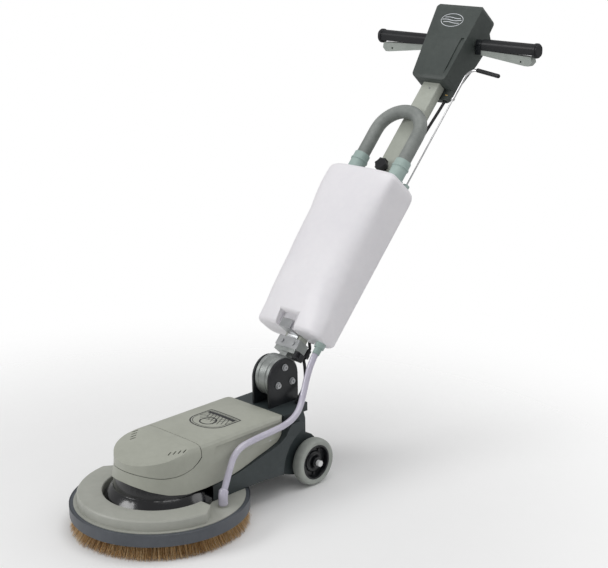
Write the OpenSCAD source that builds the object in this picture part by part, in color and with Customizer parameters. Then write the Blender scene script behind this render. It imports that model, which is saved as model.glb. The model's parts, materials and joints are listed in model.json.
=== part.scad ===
// Single-disc wet floor scrubber: a round brush head with a motor and planetary gearbox,
// two transport wheels, and a tilting handle that carries a solution tank and a control head.
// Origin: on the floor, under the brush spindle. +Z up, -Y to the front, +X to the machine's left.
// The handle leans back towards +Y. Handle pieces are drawn along the handle: X across,
// Y up along the tube from the pivot, Z out of the tube's front face.

/* [Scrub head] */
// Outer diameter of the bumper ring
bumper_d = 420; // [400:5:480]
// Height of the bumper ring
bumper_h = 27; // [20:1:32]
// Radial width of the bumper ring
bumper_w = 10; // [8:0.5:14]
// Height of the deck's flange above the floor
deck_z = 64; // [60:1:72]
// Height of the deck's raised front ring above its flange
ring_h = 24; // [16:1:28]
// Radial gap round the top cover to the raised ring
moat_gap = 20; // [14:1:26]
// Thickness of the deck's plates
deck_t = 4; // [3:0.5:5]

/* [Brush] */
// Free length of the bristles
bristle_l = 36; // [30:1:36]
// How far the bristles flare out at the floor
bristle_flare = 27; // [10:1:30]
// Radial gap between the brush block and the deck's rim
brush_gap = 6; // [4:1:20]
// Thickness of the brush block
block_t = 16; // [14:1:16]
// Diameter of the open centre of the brush
brush_eye_d = 120; // [100:5:140]

/* [Covers] */
// Half width of the top cover at its lower edge
cover_r = 112; // [108:1:114]
// Height of the top cover's crown above the floor
cover_top = 204; // [200:1:208]
// Distance from the spindle to the rear edge of the top cover
cover_back = 320; // [310:1:330]
// Wall of the covers
cover_t = 3; // [2:0.5:4]
// Height of the split line under the nose cap
cap_split = 149; // [144:1:154]
// Gap at the split line
split_gap = 1.5; // [1:0.5:2.5]
// Number of vent slots on each side of the nose cap
vent_n = 4; // [2:1:5]

/* [Chassis] */
// How far the chassis stands out beyond the cover's lower edge
chassis_lip = 4; // [2:0.5:8]
// Wall of the chassis
chassis_t = 3.5; // [3:0.5:5]
// Half width of the chassis between the wheels
tail_r = 88; // [80:1:89]

/* [Wheels] */
// Wheel diameter
wheel_d = 118; // [100:2:124]
// Wheel width
wheel_w = 32; // [26:1:34]
// Distance from the spindle to the axle
axle_y = 394; // [390:1:400]
// Axle diameter
axle_d = 12; // [10:1:14]
// Hub outer diameter, inside the tyre
hub_d = 88; // [70:2:90]

/* [Handle joint] */
// Distance from the spindle to the handle pivot
pivot_y = 383; // [380:1:386]
// Height of the handle pivot
pivot_z = 258; // [254:1:262]
// Angle of the handle above the floor in the modelled pose
tilt = 47.5; // [45:0.5:50]
// Pivot pin diameter
pin_d = 16; // [12:1:18]
// Diameter of the lock discs
disc_d = 104; // [96:1:105]
// Thickness of the centre disc on the handle
tongue_t = 23; // [18:1:24]
// Thickness of each fixed lock disc
lock_t = 12; // [10:1:14]
// Thickness of each pivot plate
plate_t = 6; // [5:0.5:8]
// Diameter of the bolts through the pivot plates
bolt_d = 8; // [6:1:10]
// Radius of the circle of bolts
bolt_ring_r = 27.5; // [26:0.5:32]

/* [Handle] */
// Width of the handle tube
tube_w = 56; // [50:1:58]
// Depth of the handle tube
tube_d = 28; // [26:1:30]
// Wall of the handle tube
tube_t = 2; // [1.5:0.5:3]
// Distance along the handle from the pivot to the handlebar
bar_s = 1015; // [1005:5:1025]
// Overall width of the handlebar
bar_w = 534; // [500:2:560]
// Diameter of the handlebar
bar_d = 18; // [16:1:20]

/* [Solution tank] */
// Distance along the handle from the pivot to the tank's floor
tank_s = 110; // [108:1:114]
// Height of the tank along the handle
tank_h = 452; // [430:2:458]
// Half width of the tank
tank_r = 112; // [108:1:116]
// Wall of the tank
tank_t = 3; // [2.5:0.5:4]
// Outer diameter of the filler hose
filler_d = 36; // [32:1:38]

/* [Water valve] */
// Sideways place of the pull rod
rod_x = 86; // [84:0.5:88]
// Thin pull rod diameter
rod_d = 4; // [3:0.5:5]
// Travel of the pull rod
rod_travel = 10; // [6:1:12]

/* [Gearbox] */
// Gear module
gear_m = 1.5; // [1.5:0.5:1.5]
// Teeth on the sun gear
sun_n = 12; // [12:6:12]
// Teeth on each planet gear
planet_n = 30; // [30:6:30]
// Width of the gears
gear_w = 12; // [10:1:12]
// Backlash cut from each tooth flank
backlash = 0.12; // [0.08:0.02:0.2]

/* [Fits] */
// Radial clearance of turning and sliding fits
run_fit = 0.05; // [0.02:0.01:0.1]
// Air gap between pieces that must not rub
air = 0.6; // [0.4:0.1:1]

/* [Hidden] */
$fn = 64;
eps = 0.01;
big = 500;

// Derived heights and radii
bumper_r = bumper_d / 2;
rim_r = bumper_r - bumper_w;
bumper_z = deck_z - 2 - bumper_h;
ring_z = deck_z + ring_h;
moat_r = cover_r + moat_gap;
ring_r = rim_r - 9;
rim_t = 4;
block_r = rim_r - rim_t - brush_gap;
block_z = bristle_l;
drive_z = block_z + block_t;
drive_t = 5;
drive_r = 50;
lug_d = 16;
lug_ring_r = 38;
deck_hole_r = 70;
skirt_z = deck_z + deck_t;

// Gearbox: the ring gear is fixed, the sun drives, the carrier turns the brush
ring_n = sun_n + 2 * planet_n;
gear_ratio = 1 + ring_n / sun_n;
planet_orbit = gear_m * (sun_n + planet_n) / 2;
planet_pin_d = 10;
case_r = gear_m * ring_n / 2 + 12;
case_z = drive_z + drive_t + 4;
case_floor = 5;
carrier_z = case_z + case_floor + 1;
carrier_t = 4;
carrier_r = planet_orbit + 11;
gear_z = carrier_z + carrier_t + 0.5;
case_top = gear_z + gear_w + 3;
hub_r = 16;

// Motor
motor_r = 76;
motor_t = 3;
motor_z = case_top;
motor_floor = 6;
motor_top = 172;
shaft_r = 8;
rotor_r = 38;
stator_in = rotor_r + air;
stator_z = motor_z + motor_floor + 10;
stator_h = 46;
fan_r = 60;

// Chassis and wheels
wheel_r = wheel_d / 2;
wheel_x = 96;
chassis_r = cover_r + chassis_lip;
arch_r = wheel_r + 44;
axle_end = wheel_x + wheel_w + 9;
chassis_z = deck_z;
deck_rear = 192;
shoulder_z = 178;
tail_t = 8;

// Handle joint stack, out from the middle
tongue_x = tongue_t / 2;
lock_x = tongue_x + 0.3;
plate_x = lock_x + lock_t;
plate_out = plate_x + plate_t;
pin_cover = 2;
bolt_angles = [90, 210, 330];
plate_y = pivot_y - 5;

// Radius of the seam that the nose cap makes over the top, seen from above
seam_r = 420;

// Handle pieces, in the handle's own directions
socket_r = tube_w / 2 + 6;
socket_s = 60;
socket_end = 98;
socket_front = tube_d / 2 + 5;
tube_s = socket_s + 6;
hook_s = tank_s - 3;
knob_s = 607;
guide_s = tank_s + tank_h;
rod_t = 4;
rod_bend = bar_s - 107;
rod_thick = bar_s - 177;
tube_end = bar_s - 35;
head_low = bar_s - 139;
head_high = bar_s + 84;
bar_t = 4.5;
bar_r = bar_d / 2;
grip_in = 92;
grip_out = bar_w / 2 - 12;
lever_pin_x = 80;
lever_end = grip_out - 4;
lever_w = 20;
switch_roof = 30;
groove_deep = 3;
face_low = 36.5;
face_high = 56;
face_lean = atan((face_high - face_low) / (head_high - head_low - 21));

// Sections of the tank: distance up the tank, depth of the front, where the side rounds over
tank_back = -27;
tank_front = [[0, 64], [0.3, 88], [0.55, 100], [0.8, 102], [1, 99]];
tank_shoulder = [[0, 27], [0.18, 20], [0.45, 18], [0.65, 27], [0.86, 66], [1, 70]];
tank_rings = [[0, 7], [0.008, 2.5], [0.022, 0], [0.1, 0], [0.2, 0], [0.3, 0], [0.4, 0],
    [0.5, 0], [0.6, 0], [0.7, 0], [0.78, 0], [0.86, 0], [0.93, 0], [0.965, 1], [0.985, 4], [1, 11]];
tank_sides = 60;
notch_w = 62;
notch_h = 37;

// Routes of the hoses and the lead
hose_d = 16;
lead_d = 8;
hose_route = [[86, 422, 304], [86, 413, 289], [87, 402, 266], [90, 390, 242],
    [95, 377, 222], [102, 362, 208], [109, 343, 197], [114, 318, 188], [115, 290, 182],
    [115, 260, 179.5], [115, 225, 177.5], [115, 190, 175], [115, 162, 171.5], [116, 142, 164],
    [119, 124, 150], [126, 107, 132], [135, 89, 114], [144, 73, 99], [149, 65, 91], [151, 62, 86]];
lead_route = [[31, 450, 277], [34, 449, 262], [39, 444, 240], [46, 428, 220],
    [51, 412, 209], [52, 406, 202], [52, 406, 197]];
lead_up_route = [[26, 107, -26], [22, 116, -23], [22, 130, -22], [22, 190, -22],
    [22, 260, -22], [22, 360, -22], [22, 460, -22], [23, 560, -22], [26, 640, -21],
    [32, 720, -20], [38, 790, -20], [40, 840, -22], [40, 866, -22]];
lead_plug = [30, 72, -29];
lead_plug_l = 22;
filler_top = 700;

// ---- General shapes ----

// A ring between two heights
module ring(outer, inner, z0, z1) {
    translate([0, 0, z0]) difference() {
        cylinder(h = z1 - z0, r = outer, $fn = 128);
        translate([0, 0, -1]) cylinder(h = z1 - z0 + 2, r = inner, $fn = 128);
    }
}

// A rod along X between two places
module rod_x(r, x0, x1) {
    translate([x0, 0, 0]) rotate([0, 90, 0]) cylinder(h = x1 - x0, r = r);
}

// A disc across X with chamfered rims
module disc_x(r, x0, x1, c = 2) {
    translate([x0, 0, 0]) rotate([0, 90, 0]) rotate_extrude($fn = 96) polygon([
        [0, 0], [r - c, 0], [r, c], [r, x1 - x0 - c], [r - c, x1 - x0], [0, x1 - x0]
    ]);
}

// A plate with rounded corners, lying in X and Y
module rounded_plate(w, d, r, h) {
    linear_extrude(h) rounded_outline(w, d, r);
}

module rounded_outline(w, d, r) {
    square([w - 2 * r, d], center = true);
    square([w, d - 2 * r], center = true);
    for (i = [-1, 1], j = [-1, 1])
        translate([i * (w / 2 - r), j * (d / 2 - r)]) circle(r);
}

// An outline in Y and Z pushed out across the machine, from -half to +half
module across(half) {
    translate([-half, 0, 0]) rotate([90, 0, 90]) linear_extrude(2 * half) children();
}

module both_sides() {
    children();
    mirror([1, 0, 0]) children();
}

// The handle's own directions: X across, Y up the tube, Z out of its front
module on_handle() {
    translate([0, pivot_y, pivot_z]) rotate([tilt, 0, 0]) children();
}

// Level directions round the handlebar's middle, as the handle leans in the modelled pose
module on_bar() {
    on_handle() translate([0, bar_s, bar_t]) rotate([-tilt, 0, 0]) children();
}

function from_handle(p) = [
    p[0],
    pivot_y + p[1] * cos(tilt) - p[2] * sin(tilt),
    pivot_z + p[1] * sin(tilt) + p[2] * cos(tilt)
];

function unit(v) = v / norm(v);

// Direction of a route at one of its points
function heading(path, i) =
    unit(path[min(i + 1, len(path) - 1)] - path[max(i - 1, 0)]);

// A side direction square to a heading, from a reference direction
function side_of(h, ref) = unit(cross(h, ref));

// A closed skin over rings of points that all have the same number of points
module skin(rings) {
    n = len(rings[0]);
    k = len(rings);
    points = [for (r = rings) for (p = r) p];
    sides = [for (j = [0 : k - 2]) for (i = [0 : n - 1])
        each [[j * n + i, (j + 1) * n + i, (j + 1) * n + (i + 1) % n],
            [j * n + i, (j + 1) * n + (i + 1) % n, j * n + (i + 1) % n]]];
    bottom = [[for (i = [0 : n - 1]) i]];
    top = [[for (i = [n - 1 : -1 : 0]) (k - 1) * n + i]];
    polyhedron(points, concat(sides, bottom, top));
}

// A round tube swept along a route
module swept(path, d, ref, sides = 10) {
    rings = [for (i = [0 : len(path) - 1])
        let (h = heading(path, i), a = side_of(h, ref), b = cross(h, a))
            [for (j = [0 : sides - 1])
                let (q = 360 * j / sides)
                    path[i] + d / 2 * (cos(q) * a + sin(q) * b)]];
    skin(rings);
}

// Value at x on a line of [x, value] points, eased between them
function along(table, x, i = 0) =
    i >= len(table) - 1 ? table[len(table) - 1][1]
    : x <= table[i + 1][0]
        ? let (f = (x - table[i][0]) / (table[i + 1][0] - table[i][0]), g = f * f * (3 - 2 * f))
            table[i][1] + (table[i + 1][1] - table[i][1]) * max(0, g)
        : along(table, x, i + 1);

// ---- Gears ----

function involute(base_r, t) = [
    base_r * (cos(t) + t * PI / 180 * sin(t)),
    base_r * (sin(t) - t * PI / 180 * cos(t))
];
function turned(p, a) = [p[0] * cos(a) - p[1] * sin(a), p[0] * sin(a) + p[1] * cos(a)];
function roll_angle(base_r, r) = r <= base_r ? 0 : sqrt(r * r / (base_r * base_r) - 1) * 180 / PI;

// Outline of a spur gear with a tooth on +X; slack widens (negative) or narrows each flank
function gear_points(n, add, ded, slack) =
    let (
        pitch_r = gear_m * n / 2,
        base_r = pitch_r * cos(20),
        tip_r = pitch_r + add,
        root_r = pitch_r - ded,
        pitch_roll = roll_angle(base_r, pitch_r),
        at_pitch = involute(base_r, pitch_roll),
        half = 90 / n - slack / pitch_r * 180 / PI,
        lean = atan2(at_pitch[1], at_pitch[0]) + half,
        start = roll_angle(base_r, root_r),
        end = roll_angle(base_r, tip_r),
        flank = [for (i = [0 : 3]) turned(involute(base_r, start + (end - start) * i / 3), -lean)],
        foot = root_r < base_r ? [turned([root_r, 0], -lean)] : [],
        low = concat(foot, flank),
        tooth = concat(low, [for (i = [len(low) - 1 : -1 : 0]) [low[i][0], -low[i][1]]])
    )
    [for (k = [0 : n - 1]) for (p = tooth) turned(p, 360 * k / n)];

// Turn that puts a planet at angle a in mesh with the sun
function planet_turn(a) = ((a + 180) * planet_n + a * sun_n - 180) / planet_n;

module planet(index) {
    a = 120 * index;
    rotate(a) translate([planet_orbit, 0, gear_z]) rotate(planet_turn(a) - a) difference() {
        linear_extrude(gear_w) polygon(gear_points(planet_n, gear_m * 0.9, gear_m * 1.2, backlash));
        translate([0, 0, -1]) cylinder(h = gear_w + 2, d = planet_pin_d + 2 * run_fit);
    }
}

// ---- Scrub head ----

module bumper_ring() {
    color("dimgray") rotate_extrude($fn = 180) difference() {
        translate([rim_r, bumper_z]) square([bumper_w, bumper_h]);
        translate([bumper_r - 2, bumper_z + bumper_h - 2]) rotate(45) square(4);
        translate([bumper_r - 2, bumper_z - 4]) rotate(45) square(4);
    }
}

// Plan of the raised part of the deck: the front, cut off at a slant behind
module raised_plan() {
    polygon([[-230, -230], [230, -230], [230, -78], [166, 11], [-166, 11], [-230, -78]]);
}

module deck() {
    color([0.66, 0.66, 0.62]) {
        ring(rim_r, rim_r - rim_t, bumper_z + 3, deck_z - deck_t);
        ring(rim_r, deck_hole_r, deck_z - deck_t, deck_z);
        intersection() {
            rotate_extrude($fn = 180) polygon([
                [moat_r, deck_z], [moat_r, ring_z - 2], [moat_r + 2, ring_z], [ring_r - 3, ring_z],
                [ring_r, ring_z - 3], [ring_r, deck_z], [ring_r - deck_t, deck_z],
                [ring_r - deck_t, ring_z - deck_t], [moat_r + deck_t, ring_z - deck_t],
                [moat_r + deck_t, deck_z]
            ]);
            translate([0, 0, deck_z]) linear_extrude(ring_h) raised_plan();
        }
        // Close the ends of the raised part
        intersection() {
            ring(ring_r - 1, moat_r + 1, deck_z, ring_z - 1);
            translate([0, 0, deck_z]) linear_extrude(ring_h) difference() {
                raised_plan();
                translate([0, -deck_t]) raised_plan();
            }
        }
    }
}

spigot = [151, 62];
// Its tip stops just under the slanting end of the hose
spigot_h = 16.5;
module hose_spigot() {
    color([0.66, 0.66, 0.62]) translate([spigot[0], spigot[1], deck_z]) difference() {
        union() {
            cylinder(h = 3, r = 12);
            cylinder(h = spigot_h, r = 9);
        }
        translate([0, 0, -1]) cylinder(h = spigot_h + 2, r = 4);
    }
}

module motor_skirt() {
    color([0.06, 0.07, 0.08]) rotate_extrude($fn = 180) polygon([
        [deck_hole_r, deck_z], [moat_r - 1, deck_z], [moat_r - 2, deck_z + 10],
        [cover_r, 96.5], [cover_r - 4.2, 99], [cover_r - 5.5, 110], [cover_r - 10, 134],
        [cover_r - 13, 134], [cover_r - 8.5, 110], [cover_r - 8, 97], [moat_r - 7, deck_z + 11],
        [moat_r - 8, skirt_z],
        [deck_hole_r, skirt_z]
    ]);
}

// ---- Covers ----

// Half section of the covers, grown inwards by a wall w
module cover_section(w) {
    polygon([
        [0, 90], [cover_r + 1.8 - w, 90], [cover_r - w, 104], [cover_r - 9 - w, cap_split],
        [cover_r - 10.5 - w, 176], [cover_r - 11 - w, 187], [cover_r - 13.5 - w, 194],
        [cover_r - 19 - w * 0.8, cover_top - 4 - w * 0.8], [cover_r - 30 - w * 0.4, cover_top - 1 - w],
        [0, cover_top + 2 - w]
    ]);
}

// Side outline of the covers: sloping nose, flat top, rounded tail, swept lower edge.
// The inside is drawn in by w and reaches lower by drop, so that the shell is open below.
module cover_side(w, drop) {
    polygon([
        [-130, 148 - drop], [-105, 131 - drop], [-84, 121 - drop], [-52, 111 - drop],
        [-9, 104.5 - drop], [44, 102 - drop], [80, 103 - drop], [118, 106 - drop],
        [150, 111 - drop], [182, 118 - drop], [214, 126 - drop], [247, 133 - drop],
        [280, 142 - drop], [300, 155 - drop], [cover_back - 8, 172 - drop],
        [cover_back - w, 186], [cover_back - 8 - w, 197 - w], [280, cover_top - 2 - w],
        [213, cover_top + 1 - w], [150, cover_top + 3 - w], [70, cover_top + 3 - w],
        [20, cover_top - 3 - w], [-35, 191 - w], [-84, 181 - w], [-130, 168 - w]
    ]);
}

// Plan of the covers behind the nose, with rounded rear corners
module cover_plan(w) {
    corner = 38;
    side = cover_r - 8 - w;
    translate([-big / 2, -big / 2]) square([big, big / 2 + cover_back - corner]);
    translate([corner - side, 0]) square([2 * (side - corner), cover_back - w]);
    for (i = [-1, 1]) translate([i * (side - corner), cover_back - corner - w]) circle(corner);
}

// Leaning recess down each side behind the nose, where the water hose lies under the top's lip
module hose_recess(w) {
    both_sides() intersection() {
        translate([0, 400, 0]) rotate([90, 0, 0]) linear_extrude(400) polygon([
            [cover_r + 1 - w, 100], [cover_r - 15 - w, 186], [cover_r - 15 - w, 187],
            [cover_r + 20, 189], [cover_r + 20, 80], [cover_r + 2 - w, 80]
        ]);
        across(cover_r + 30) polygon([
            [84 + w, 80], [74 + w, 142], [80 + w, 167], [92 + w, 190], [400, 190], [400, 80]
        ]);
    }
}

module cover_form(w, drop) {
    difference() {
        cover_body(w, drop);
        hose_recess(w);
    }
}

module cover_body(w, drop) {
    intersection() {
        union() {
            rotate_extrude($fn = 128) cover_section(w);
            both_sides() intersection() {
                translate([0, big, 0]) rotate([90, 0, 0]) linear_extrude(big) cover_section(w);
                cube([big, 2 * big, big]);
            }
        }
        across(cover_r + 10) cover_side(w, drop);
        linear_extrude(big) cover_plan(w);
    }
}

module cover_shell() {
    difference() {
        cover_form(0, 0);
        cover_form(cover_t, 5);
    }
}

// Everything in front of and above the split; gap opens the joint
module nose_cutter(gap) {
    intersection() {
        across(cover_r + 20) polygon([
            [-150, cap_split + 23 + gap], [-104, cap_split + 9 + gap], [-86, cap_split + 4.5 + gap],
            [-72, cap_split + 1.2 + gap], [-56, cap_split - 1 + gap], [-30, cap_split - 1 + gap],
            [-5, cap_split + 2 + gap], [17, cap_split + 7 + gap], [34 - gap, cap_split + 16 + gap],
            [46 - gap, cap_split + 26 + gap], [50 - gap, cap_split + 34], [47 - gap, cap_split + 43],
            [47 - gap, cap_split + 60], [49 - gap, cap_split + 80], [-150, cap_split + 80]
        ]);
        translate([0, 58 - seam_r - gap, 0]) cylinder(h = big, r = seam_r, $fn = 360);
    }
}

module top_cover() {
    color([0.62, 0.62, 0.58]) difference() {
        cover_shell();
        nose_cutter(0);
    }
}

module vent_slots() {
    for (i = [0 : vent_n - 1])
        translate([66 + 7.5 * i, -20 + 8.5 * i, 150]) rotate([0, 0, 20])
            linear_extrude(60) rounded_outline(3.4, 15, 1.6);
}

module nose_cap() {
    color([0.64, 0.64, 0.6]) difference() {
        intersection() {
            cover_shell();
            nose_cutter(split_gap);
        }
        both_sides() vent_slots();
    }
}

module cover_screws() {
    color("silver") both_sides() for (y = [120, 260])
        translate([cover_r - 12, y, y < 200 ? 128 : 150]) rotate([0, 90, 0]) cylinder(h = 3, r = 3);
}

// ---- Chassis ----

// Side outline of the wide part, up to the wheel arch
module chassis_side() {
    difference() {
        polygon([
            [40, chassis_z], [bumper_r + 4, chassis_z], [295, chassis_z - 8], [360, chassis_z - 8],
            [360, shoulder_z - 8], [352, shoulder_z], [cover_back + 1, shoulder_z],
            [cover_back - 7, 171], [301, 154], [281, 141], [248, 132], [215, 125], [183, 117],
            [151, 110], [119, 105], [81, 102], [40, 101]
        ]);
        translate([axle_y, wheel_r]) circle(arch_r);
    }
}

// Space inside the wide part, with a flange left all along under the cover's edge
module chassis_pocket() {
    low = chassis_z + chassis_t;
    difference() {
        polygon([
            [0, low], [bumper_r + 4, low], [288, low - 7], [348, low - 7],
            [348, shoulder_z - chassis_t], [cover_back + 5, shoulder_z - chassis_t],
            [cover_back - 3.5, 168], [304, 150.5], [284, 138], [249, 128.3], [216, 121.3],
            [184, 113.3], [152, 106.3], [119.5, 101.4], [81, 98.4], [0, 97]
        ]);
        translate([axle_y, wheel_r]) circle(arch_r + chassis_t);
    }
}

// Side outline of the narrow part that holds the axle between the wheels
module tail_side() {
    polygon([
        [280, chassis_z - 8], [335, 34], [370, 24], [394, 22], [414, 30], [424, 50], [424, 108],
        [414, 118], [axle_y, 127], [axle_y, 166], [388, 186], [380, deck_rear],
        [cover_back + 1, deck_rear], [cover_back + 1, 160], [280, 130]
    ]);
}

module tail_pocket() {
    roof = deck_rear - 26;
    polygon([
        [270, chassis_z - 8 + chassis_t], [338, 34 + chassis_t], [372, 28], [394, 26], [412, 33],
        [420, 52], [420, 106], [410, 115], [axle_y - 4, 123], [axle_y - 4, 140], [372, roof],
        [330, roof], [300, 140], [270, 120]
    ]);
}

module chassis() {
    color([0.19, 0.22, 0.22]) difference() {
        union() {
            across(chassis_r) chassis_side();
            across(tail_r) tail_side();
            // Ledge that carries the pivot plates and the lead gland
            translate([-64, 372, deck_rear - 22]) cube([128, 54, 22]);
        }
        across(chassis_r - chassis_t) chassis_pocket();
        // Open above, under the cover
        across(cover_r - 16) polygon([[0, 90], [284, 90], [284, big], [0, big]]);
        across(tail_r - tail_t) tail_pocket();
        cylinder(h = big, r = moat_r, $fn = 128);
        // Axle bore
        translate([0, axle_y, wheel_r]) rod_x(axle_d / 2, -big, big);
        // Slots for the feet of the pivot plates
        for (i = [-1, 1]) translate([i * (plate_x + plate_t / 2), plate_y, deck_rear - 10])
            translate([-plate_t / 2, -46, 0]) cube([plate_t, 92, 20]);
        // Gland seat
        translate([52, 406, deck_rear - 30]) cylinder(h = 40, r = 7);
    }
}

module motor_can() {
    color([0.35, 0.37, 0.38]) difference() {
        rotate_extrude($fn = 96) polygon([
            [shaft_r + run_fit, motor_z], [motor_r, motor_z], [motor_r, motor_top - 6],
            [motor_r - 6, motor_top], [shaft_r + run_fit, motor_top],
            [shaft_r + run_fit, motor_top - 8], [motor_r - motor_t - 4, motor_top - 4 - motor_t],
            [motor_r - motor_t, motor_top - 6 - motor_t], [motor_r - motor_t, motor_z + motor_floor],
            [shaft_r + run_fit, motor_z + motor_floor]
        ]);
        for (a = [0 : 45 : 315]) rotate(a) translate([motor_r - 24, 0, motor_top - 14])
            cylinder(h = 30, r = 5);
    }
}

module motor_stator() {
    color("peru") ring(motor_r - motor_t, stator_in, stator_z, stator_z + stator_h);
}

module motor_rotor() {
    color("silver") {
        translate([0, 0, gear_z + gear_w + 1])
            cylinder(h = motor_top + 2 - gear_z - gear_w, r = shaft_r);
        translate([0, 0, stator_z + 1]) cylinder(h = stator_h - 2, r = rotor_r);
        translate([0, 0, gear_z + 0.4]) linear_extrude(gear_w + 0.6 + eps)
            polygon(gear_points(sun_n, gear_m * 0.9, gear_m * 1.1, backlash));
    }
}

module cooling_fan() {
    fan_z = stator_z + stator_h + 4;
    color("black") difference() {
        union() {
            translate([0, 0, fan_z]) cylinder(h = 2, r = fan_r);
            translate([0, 0, fan_z]) cylinder(h = 7, r = shaft_r + 5);
            for (a = [0 : 45 : 315]) rotate(a) translate([shaft_r + 3, -0.8, fan_z])
                cube([fan_r - shaft_r - 6, 1.6, 7]);
        }
        translate([0, 0, fan_z - 1]) cylinder(h = 12, r = shaft_r);
    }
}

module run_capacitor() {
    color("gainsboro") translate([45, 150, 108]) rotate([-90, 0, 0]) cylinder(h = 90, r = 22);
    color("gainsboro") translate([23, 165, chassis_z + chassis_t]) cube([44, 60, 20]);
}

module gearbox_case() {
    color([0.5, 0.52, 0.53]) {
        difference() {
            translate([0, 0, case_z]) cylinder(h = case_top - case_z, r = case_r, $fn = 96);
            translate([0, 0, gear_z - 0.5]) linear_extrude(big)
                rotate(180 / ring_n) polygon(gear_points(ring_n, gear_m * 1.2, gear_m * 0.9, -backlash));
            translate([0, 0, case_z + case_floor]) cylinder(h = carrier_t + 2, r = carrier_r + 2);
            translate([0, 0, case_z - 1]) cylinder(h = case_floor + 2, r = hub_r + run_fit);
        }
        ring(case_r + 18, case_r, skirt_z, skirt_z + 4);
    }
}

module planet_gear_1() { color("goldenrod") planet(0); }
module planet_gear_2() { color("goldenrod") planet(1); }
module planet_gear_3() { color("goldenrod") planet(2); }

module planet_carrier() {
    color("silver") {
        translate([0, 0, carrier_z]) cylinder(h = carrier_t, r = carrier_r);
        translate([0, 0, drive_z + drive_t]) cylinder(h = carrier_z - drive_z - drive_t + eps, r = hub_r);
        for (a = [0, 120, 240]) rotate(a) translate([planet_orbit, 0, carrier_z])
            cylinder(h = carrier_t + gear_w + 1, d = planet_pin_d);
    }
}

module drive_plate() {
    color("silver") {
        translate([0, 0, drive_z]) cylinder(h = drive_t, r = drive_r);
        for (a = [0, 120, 240]) rotate(a) translate([lug_ring_r, 0, drive_z - 9])
            cylinder(h = 9 + eps, d = lug_d);
    }
}

module brush_block() {
    color("saddlebrown") translate([0, 0, block_z]) difference() {
        cylinder(h = block_t, r = block_r, $fn = 180);
        for (a = [0, 120, 240]) rotate(a) translate([lug_ring_r, 0, block_t - 10])
            cylinder(h = 12, d = lug_d + 1);
        translate([0, 0, -1]) cylinder(h = block_t + 2, r = 14);
    }
}

module bristles() {
    root_r = block_r - 1;
    color("burlywood") rotate_extrude($fn = 128) polygon([
        [brush_eye_d / 2, 0], [block_r + bristle_flare - 4, 0], [block_r + bristle_flare, 2],
        [block_r + 6, bristle_l * 0.72], [root_r, bristle_l], [brush_eye_d / 2 + 8, bristle_l]
    ]);
}

// ---- Wheels ----

module axle() {
    color("silver") translate([0, axle_y, wheel_r]) rod_x(axle_d / 2, -axle_end, axle_end);
}

module axle_caps() {
    color("whitesmoke") both_sides() translate([0, axle_y, wheel_r]) difference() {
        rod_x(axle_d / 2 + 1.8, wheel_x + wheel_w + 1, axle_end + 2);
        rod_x(axle_d / 2, 0, axle_end);
    }
}

module tyre() {
    translate([wheel_x, axle_y, wheel_r]) rotate([0, 90, 0]) rotate_extrude($fn = 96) polygon([
        [hub_d / 2, 3], [wheel_r - 7, 0], [wheel_r - 3, 2], [wheel_r - 0.8, 6], [wheel_r, 11],
        [wheel_r, wheel_w - 11], [wheel_r - 0.8, wheel_w - 6], [wheel_r - 3, wheel_w - 2],
        [wheel_r - 7, wheel_w], [hub_d / 2, wheel_w - 3]
    ]);
}

module hub() {
    rim = hub_d / 2;
    bore = axle_d / 2 + run_fit;
    boss_x = wheel_w - 9;
    translate([wheel_x, axle_y, wheel_r]) rotate([0, 90, 0]) {
        rotate_extrude($fn = 96) polygon([
            [bore, 1], [16, 1], [18, 10], [rim - 6, 10], [rim - 5, 3], [rim, 3],
            [rim, wheel_w - 3], [rim - 4, wheel_w - 3], [rim - 6, wheel_w - 8],
            [rim - 7, boss_x - 7], [27, boss_x - 7], [25, boss_x - 3], [19, boss_x - 3],
            [16, boss_x - 1], [14, wheel_w], [bore, wheel_w]
        ]);
        for (a = [0 : 72 : 288]) rotate(a) translate([31, 0, boss_x - 7 - eps])
            cylinder(h = 4, r = 3.2, $fn = 24);
    }
}

module tyre_left() { color("darkgray") tyre(); }
module tyre_right() { color("darkgray") mirror([1, 0, 0]) tyre(); }
module hub_left() { color("black") hub(); }
module hub_right() { color("black") mirror([1, 0, 0]) hub(); }

// ---- Handle joint ----

module pivot_plate() {
    color("black") translate([plate_x, 0, 0]) difference() {
        rotate([90, 0, 90]) linear_extrude(plate_t) {
            translate([plate_y, pivot_z]) circle(50, $fn = 96);
            polygon([
                [plate_y - 50, pivot_z], [plate_y - 50, deck_rear], [plate_y - 46, deck_rear],
                [plate_y - 46, deck_rear - 10], [plate_y + 46, deck_rear - 10],
                [plate_y + 46, deck_rear], [plate_y + 50, deck_rear], [plate_y + 50, pivot_z]
            ]);
        }
        translate([0, pivot_y, pivot_z]) {
            rod_x(pin_d / 2, -1, plate_t - pin_cover);
            for (a = bolt_angles) rotate([a - 90, 0, 0]) translate([0, 0, bolt_ring_r])
                rod_x(bolt_d / 2, -1, plate_t + 1);
        }
    }
}

module pivot_plate_left() { pivot_plate(); }
module pivot_plate_right() { mirror([1, 0, 0]) pivot_plate(); }

module lock_discs() {
    color("gray") both_sides() translate([0, pivot_y, pivot_z]) difference() {
        disc_x(disc_d / 2, lock_x, lock_x + lock_t);
        rod_x(pin_d / 2, 0, big);
        for (a = bolt_angles) rotate([a - 90, 0, 0]) translate([0, 0, bolt_ring_r])
            rod_x(bolt_d / 2, 0, big);
    }
}

module pivot_pin() {
    color("silver") translate([0, pivot_y, pivot_z]) {
        rod_x(pin_d / 2, pin_cover - plate_out, plate_out - pin_cover);
    }
}

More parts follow.
